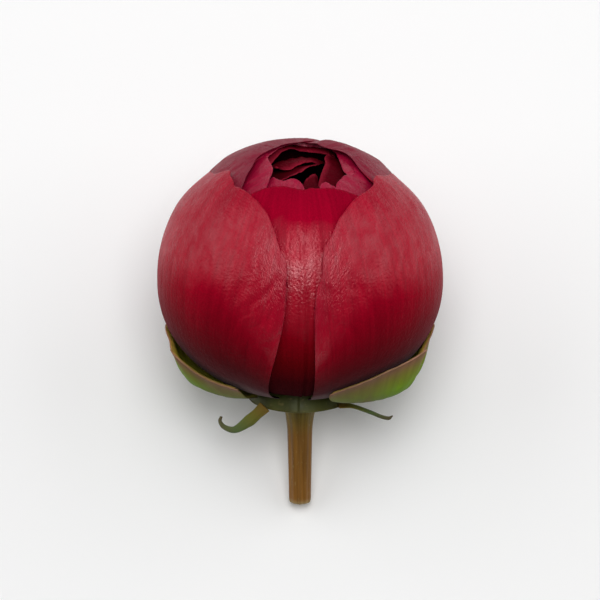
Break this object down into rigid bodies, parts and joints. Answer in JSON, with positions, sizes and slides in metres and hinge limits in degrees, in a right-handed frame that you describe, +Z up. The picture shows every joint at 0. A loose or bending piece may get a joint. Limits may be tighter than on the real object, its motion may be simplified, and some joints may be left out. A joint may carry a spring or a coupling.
{
  "type": "peony bud",
  "caption": "Closed crimson peony bud, cut with a short stalk and lying on its back: petals overlapped round a swirled crown, green sepals and thin bracts.",
  "frame": {"origin": "the middle of the underside of the bounding box, on the surface that the bud lies on", "axes": "+Z up; the cut end of the stalk points along -Y and the crown along +Y, about 34 degrees above the surface; the front petals face up; +X is the bud's right as seen from above with the stalk towards the viewer"},
  "size_m": [0.0558, 0.0678, 0.0555],
  "materials": {
    "guard_petal": "velvety satin, finely veined, a pale sheen at grazing angles",
    "inner_petal": "velvety satin",
    "sepal": "waxy satin green with a reddish-brown rim",
    "bract": "waxy satin green, brownish at the tip",
    "stalk": "satin, olive brown, finely ribbed"
  },
  "bodies": {
    "root": {"stem": "stalk", "sepal_left": "sepal", "sepal_right": "sepal", "sepal_back_left": "sepal", "sepal_back_right": "sepal", "bract_left": "bract", "bract_right": "bract", "petal_front_left": "guard_petal", "petal_front_right": "guard_petal", "petal_front_middle": "guard_petal", "petal_back_left": "guard_petal", "petal_back_right": "guard_petal", "inner_petal_left": "inner_petal", "inner_petal_front_left": "inner_petal", "inner_petal_front_right": "inner_petal", "inner_petal_right": "inner_petal", "inner_petal_back_right": "inner_petal", "inner_petal_back": "inner_petal", "heart_petal_right": "inner_petal", "heart_petal_back_left": "inner_petal", "heart_petal_left": "inner_petal", "heart_petal_front": "inner_petal", "heart_petal_back": "inner_petal", "fourth_whorl_petal_1": "inner_petal", "fourth_whorl_petal_2": "inner_petal", "fourth_whorl_petal_3": "inner_petal", "fourth_whorl_petal_4": "inner_petal", "fourth_whorl_petal_5": "inner_petal", "fifth_whorl_petal_1": "inner_petal", "fifth_whorl_petal_2": "inner_petal", "fifth_whorl_petal_3": "inner_petal", "fifth_whorl_petal_4": "inner_petal", "fifth_whorl_petal_5": "inner_petal", "sixth_whorl_petal_1": "inner_petal", "sixth_whorl_petal_2": "inner_petal", "sixth_whorl_petal_3": "inner_petal", "sixth_whorl_petal_4": "inner_petal", "innermost_petal_1": "inner_petal", "innermost_petal_2": "inner_petal", "innermost_petal_3": "inner_petal"}
  },
  "joints": []
}
